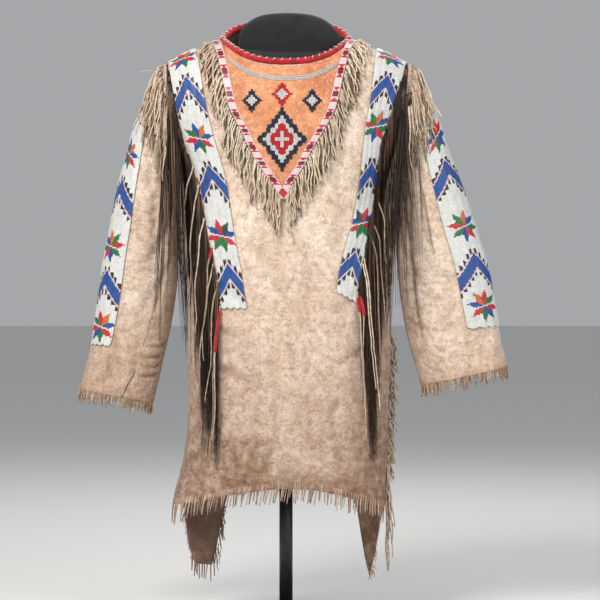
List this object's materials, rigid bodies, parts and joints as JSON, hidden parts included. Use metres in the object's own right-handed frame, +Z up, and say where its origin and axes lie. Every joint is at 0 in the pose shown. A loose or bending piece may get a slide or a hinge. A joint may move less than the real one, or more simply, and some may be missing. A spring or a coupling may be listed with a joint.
{
  "type": "beaded hide shirt on a limbless dress form",
  "caption": "Long-sleeved hide shirt with beaded shoulder and sleeve strips, ochre bib, cut fringe and hair locks, filled out on a limbless dress form with a round base.",
  "frame": {"origin": "centre of the underside of the stand's round base, on the surface it stands on", "axes": "+X towards the right as seen from the front, +Y towards the back, +Z up"},
  "size_m": [0.7743, 0.3, 1.092],
  "materials": {
    "hide": "soft smoked tan hide, suede-like, stained and creased",
    "ochre_hide": "soft hide rubbed with orange ochre",
    "beads": "opaque white, blue, red, green and orange seed beads in lanes",
    "border_beads": "opaque dark red and white seed beads",
    "wool": "napped red wool",
    "hair": "long dark hair with a soft sheen",
    "form_cloth": "matt charcoal jersey over a padded form",
    "stand_metal": "satin black powder coat"
  },
  "bodies": {
    "root": {"front": "hide", "back": "hide", "sleeve_left": "hide", "sleeve_right": "hide", "bib_fringe_left": "hide", "bib_fringe_right": "hide", "hem_fringe_front": "hide", "hem_fringe_back": "hide", "tab_fringe_left": "hide", "cuff_fringe_left": "hide", "cuff_fringe_right": "hide", "shoulder_fringe_left": "hide", "shoulder_fringe_right": "hide", "side_fringe_right": "hide", "bib": "ochre_hide", "bib_border_left": "border_beads", "bib_border_right": "border_beads", "neck_binding": "wool", "chest_strip_left": "beads", "chest_strip_right": "beads", "arm_strip_left": "beads", "arm_strip_right": "beads", "hair_left": "hair", "hair_right": "hair", "form_torso": "form_cloth", "form_post": "stand_metal", "form_base": "stand_metal"}
  },
  "joints": []
}
